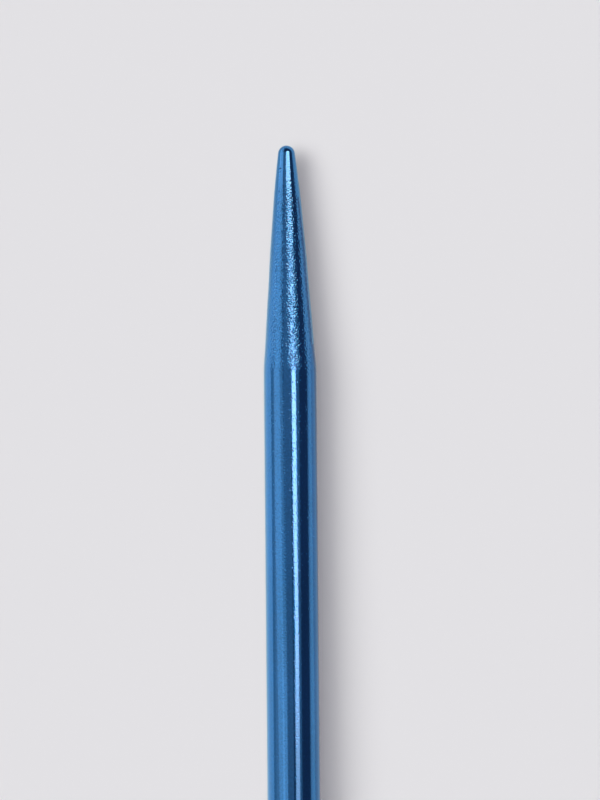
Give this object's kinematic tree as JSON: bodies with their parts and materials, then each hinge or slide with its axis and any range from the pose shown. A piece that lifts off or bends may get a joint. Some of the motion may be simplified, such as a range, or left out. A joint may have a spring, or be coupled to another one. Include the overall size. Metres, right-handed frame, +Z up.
{
  "type": "knitting needle",
  "caption": "Single-pointed straight knitting needle: round anodised aluminium shaft with a swaged taper and blunt rounded point, and a pressed stop head.",
  "frame": {"origin": "on the surface that the needle lies on, at the middle of its bounding box seen from above", "axes": "+Z up from that surface, +Y towards the point, +X to the right of someone looking from the head to the point; the needle's own axis slopes 1.02 degrees down towards the point, because the head is larger than the shaft"},
  "size_m": [0.013, 0.25, 0.013],
  "materials": {
    "anodised_rod": "drawn rod, dyed blue and clear-sealed anodising, glossy, with a fine grain that is coarser on the swaged taper",
    "anodised_sheet": "pressed sheet, dyed blue and clear-sealed anodising, satin gloss"
  },
  "bodies": {
    "root": {"shaft": "anodised_rod", "head_back_plate": "anodised_sheet", "head_cap": "anodised_sheet"}
  },
  "joints": []
}
